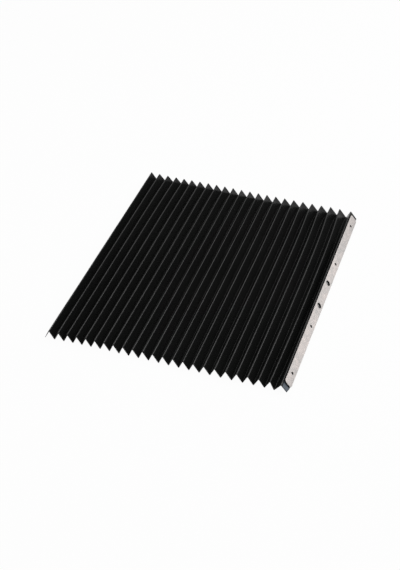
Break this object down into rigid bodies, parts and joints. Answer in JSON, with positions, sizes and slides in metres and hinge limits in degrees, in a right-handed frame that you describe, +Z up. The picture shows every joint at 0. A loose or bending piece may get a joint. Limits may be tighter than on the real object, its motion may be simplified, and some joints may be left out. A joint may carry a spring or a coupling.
{
  "type": "bellows way cover",
  "caption": "Flat bellows way cover: a black coated sheet folded into straight pleats, with a galvanised bar on one end flap that bolts to the moving end of a machine slide.",
  "frame": {"origin": "centre of the bounding box, on the plane that the pleats stand on", "axes": "+X the way the cover stretches, towards the end bar; +Y along the folds; +Z up, out of the pleats"},
  "size_m": [0.4854, 0.56, 0.0181],
  "materials": {
    "coated_sheet": "black coated polyester cloth, satin, greyed along the crests",
    "galvanised_bar": "pale zinc-plated flat bar, satin, faintly mottled",
    "dark_rivet": "dark oxidised countersunk rivets"
  },
  "bodies": {
    "cover": {"bellows_sheet": "coated_sheet"},
    "moving_end": {"end_strip": "galvanised_bar", "end_rivets": "dark_rivet"}
  },
  "joints": [
    {"name": "end_slide", "type": "slide", "parent": "cover", "child": "moving_end", "axis": [1, 0, 0], "range_m": [-0.38, 0], "deforming": ["bellows_sheet"]}
  ]
}
